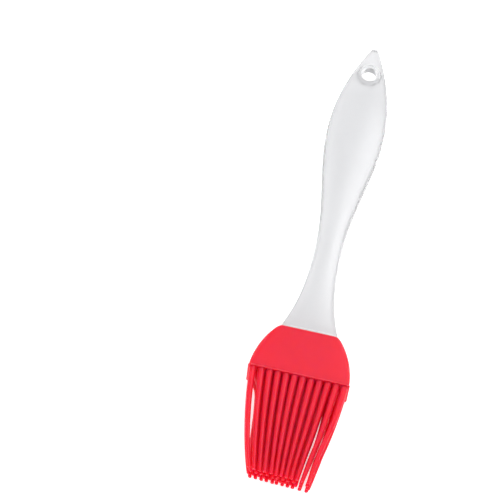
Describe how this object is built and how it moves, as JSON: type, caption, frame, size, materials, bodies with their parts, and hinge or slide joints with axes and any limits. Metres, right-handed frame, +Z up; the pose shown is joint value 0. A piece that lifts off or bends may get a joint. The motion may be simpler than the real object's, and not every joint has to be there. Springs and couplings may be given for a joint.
{
  "type": "pastry brush",
  "caption": "Pastry brush with a clear waisted handle, a hanging hole and a pull-off red silicone head whose sleeve carries rows of round tapering bristles.",
  "frame": {"origin": "on the surface under the middle of the brush, which lies on the back of its head", "axes": "+X across the brush, +Y from the bristle tips to the handle tip, +Z up out of the back it lies on"},
  "size_m": [0.034, 0.176, 0.012],
  "materials": {
    "handle_clear": "clear, lightly frosted",
    "silicone_red": "satin, soft sheen"
  },
  "bodies": {
    "handle": {"handle": "handle_clear"},
    "head": {"sleeve": "silicone_red"},
    "bristle_row_a": {"bristle_a_1": "silicone_red", "bristle_a_2": "silicone_red", "bristle_a_3": "silicone_red", "bristle_a_4": "silicone_red", "bristle_a_5": "silicone_red", "bristle_a_6": "silicone_red", "bristle_a_7": "silicone_red", "bristle_a_8": "silicone_red", "bristle_a_9": "silicone_red", "bristle_a_10": "silicone_red", "bristle_a_11": "silicone_red", "bristle_a_12": "silicone_red"},
    "bristle_row_b": {"bristle_b_1": "silicone_red", "bristle_b_2": "silicone_red", "bristle_b_3": "silicone_red", "bristle_b_4": "silicone_red", "bristle_b_5": "silicone_red", "bristle_b_6": "silicone_red", "bristle_b_7": "silicone_red", "bristle_b_8": "silicone_red", "bristle_b_9": "silicone_red", "bristle_b_10": "silicone_red", "bristle_b_11": "silicone_red"},
    "bristle_row_c": {"bristle_c_1": "silicone_red", "bristle_c_2": "silicone_red", "bristle_c_3": "silicone_red", "bristle_c_4": "silicone_red", "bristle_c_5": "silicone_red", "bristle_c_6": "silicone_red", "bristle_c_7": "silicone_red", "bristle_c_8": "silicone_red", "bristle_c_9": "silicone_red", "bristle_c_10": "silicone_red", "bristle_c_11": "silicone_red", "bristle_c_12": "silicone_red"},
    "bristle_row_d": {"bristle_d_1": "silicone_red", "bristle_d_2": "silicone_red", "bristle_d_3": "silicone_red", "bristle_d_4": "silicone_red", "bristle_d_5": "silicone_red", "bristle_d_6": "silicone_red", "bristle_d_7": "silicone_red", "bristle_d_8": "silicone_red", "bristle_d_9": "silicone_red", "bristle_d_10": "silicone_red", "bristle_d_11": "silicone_red"}
  },
  "joints": [
    {"name": "head_pull_off", "type": "slide", "parent": "handle", "child": "head", "axis": [0, -1, 0], "range_m": [0, 0.03]},
    {"name": "row_a_flex", "type": "hinge", "parent": "head", "child": "bristle_row_a", "pos_m": [0, -0.05239, 0.0105], "axis": [1, 0, 0], "range_deg": [-45, 45], "stiffness_Nm_per_rad": 0.008},
    {"name": "row_b_flex", "type": "hinge", "parent": "head", "child": "bristle_row_b", "pos_m": [0, -0.05239, 0.0075], "axis": [1, 0, 0], "range_deg": [-45, 45], "stiffness_Nm_per_rad": 0.008},
    {"name": "row_c_flex", "type": "hinge", "parent": "head", "child": "bristle_row_c", "pos_m": [0, -0.05239, 0.0045], "axis": [1, 0, 0], "range_deg": [-45, 45], "stiffness_Nm_per_rad": 0.008},
    {"name": "row_d_flex", "type": "hinge", "parent": "head", "child": "bristle_row_d", "pos_m": [0, -0.05239, 0.0015], "axis": [1, 0, 0], "range_deg": [-45, 45], "stiffness_Nm_per_rad": 0.008}
  ],
  "couplings": [
    {"joint": "row_b_flex", "follows": "row_a_flex", "ratio": 1},
    {"joint": "row_c_flex", "follows": "row_a_flex", "ratio": 1},
    {"joint": "row_d_flex", "follows": "row_a_flex", "ratio": 1}
  ]
}
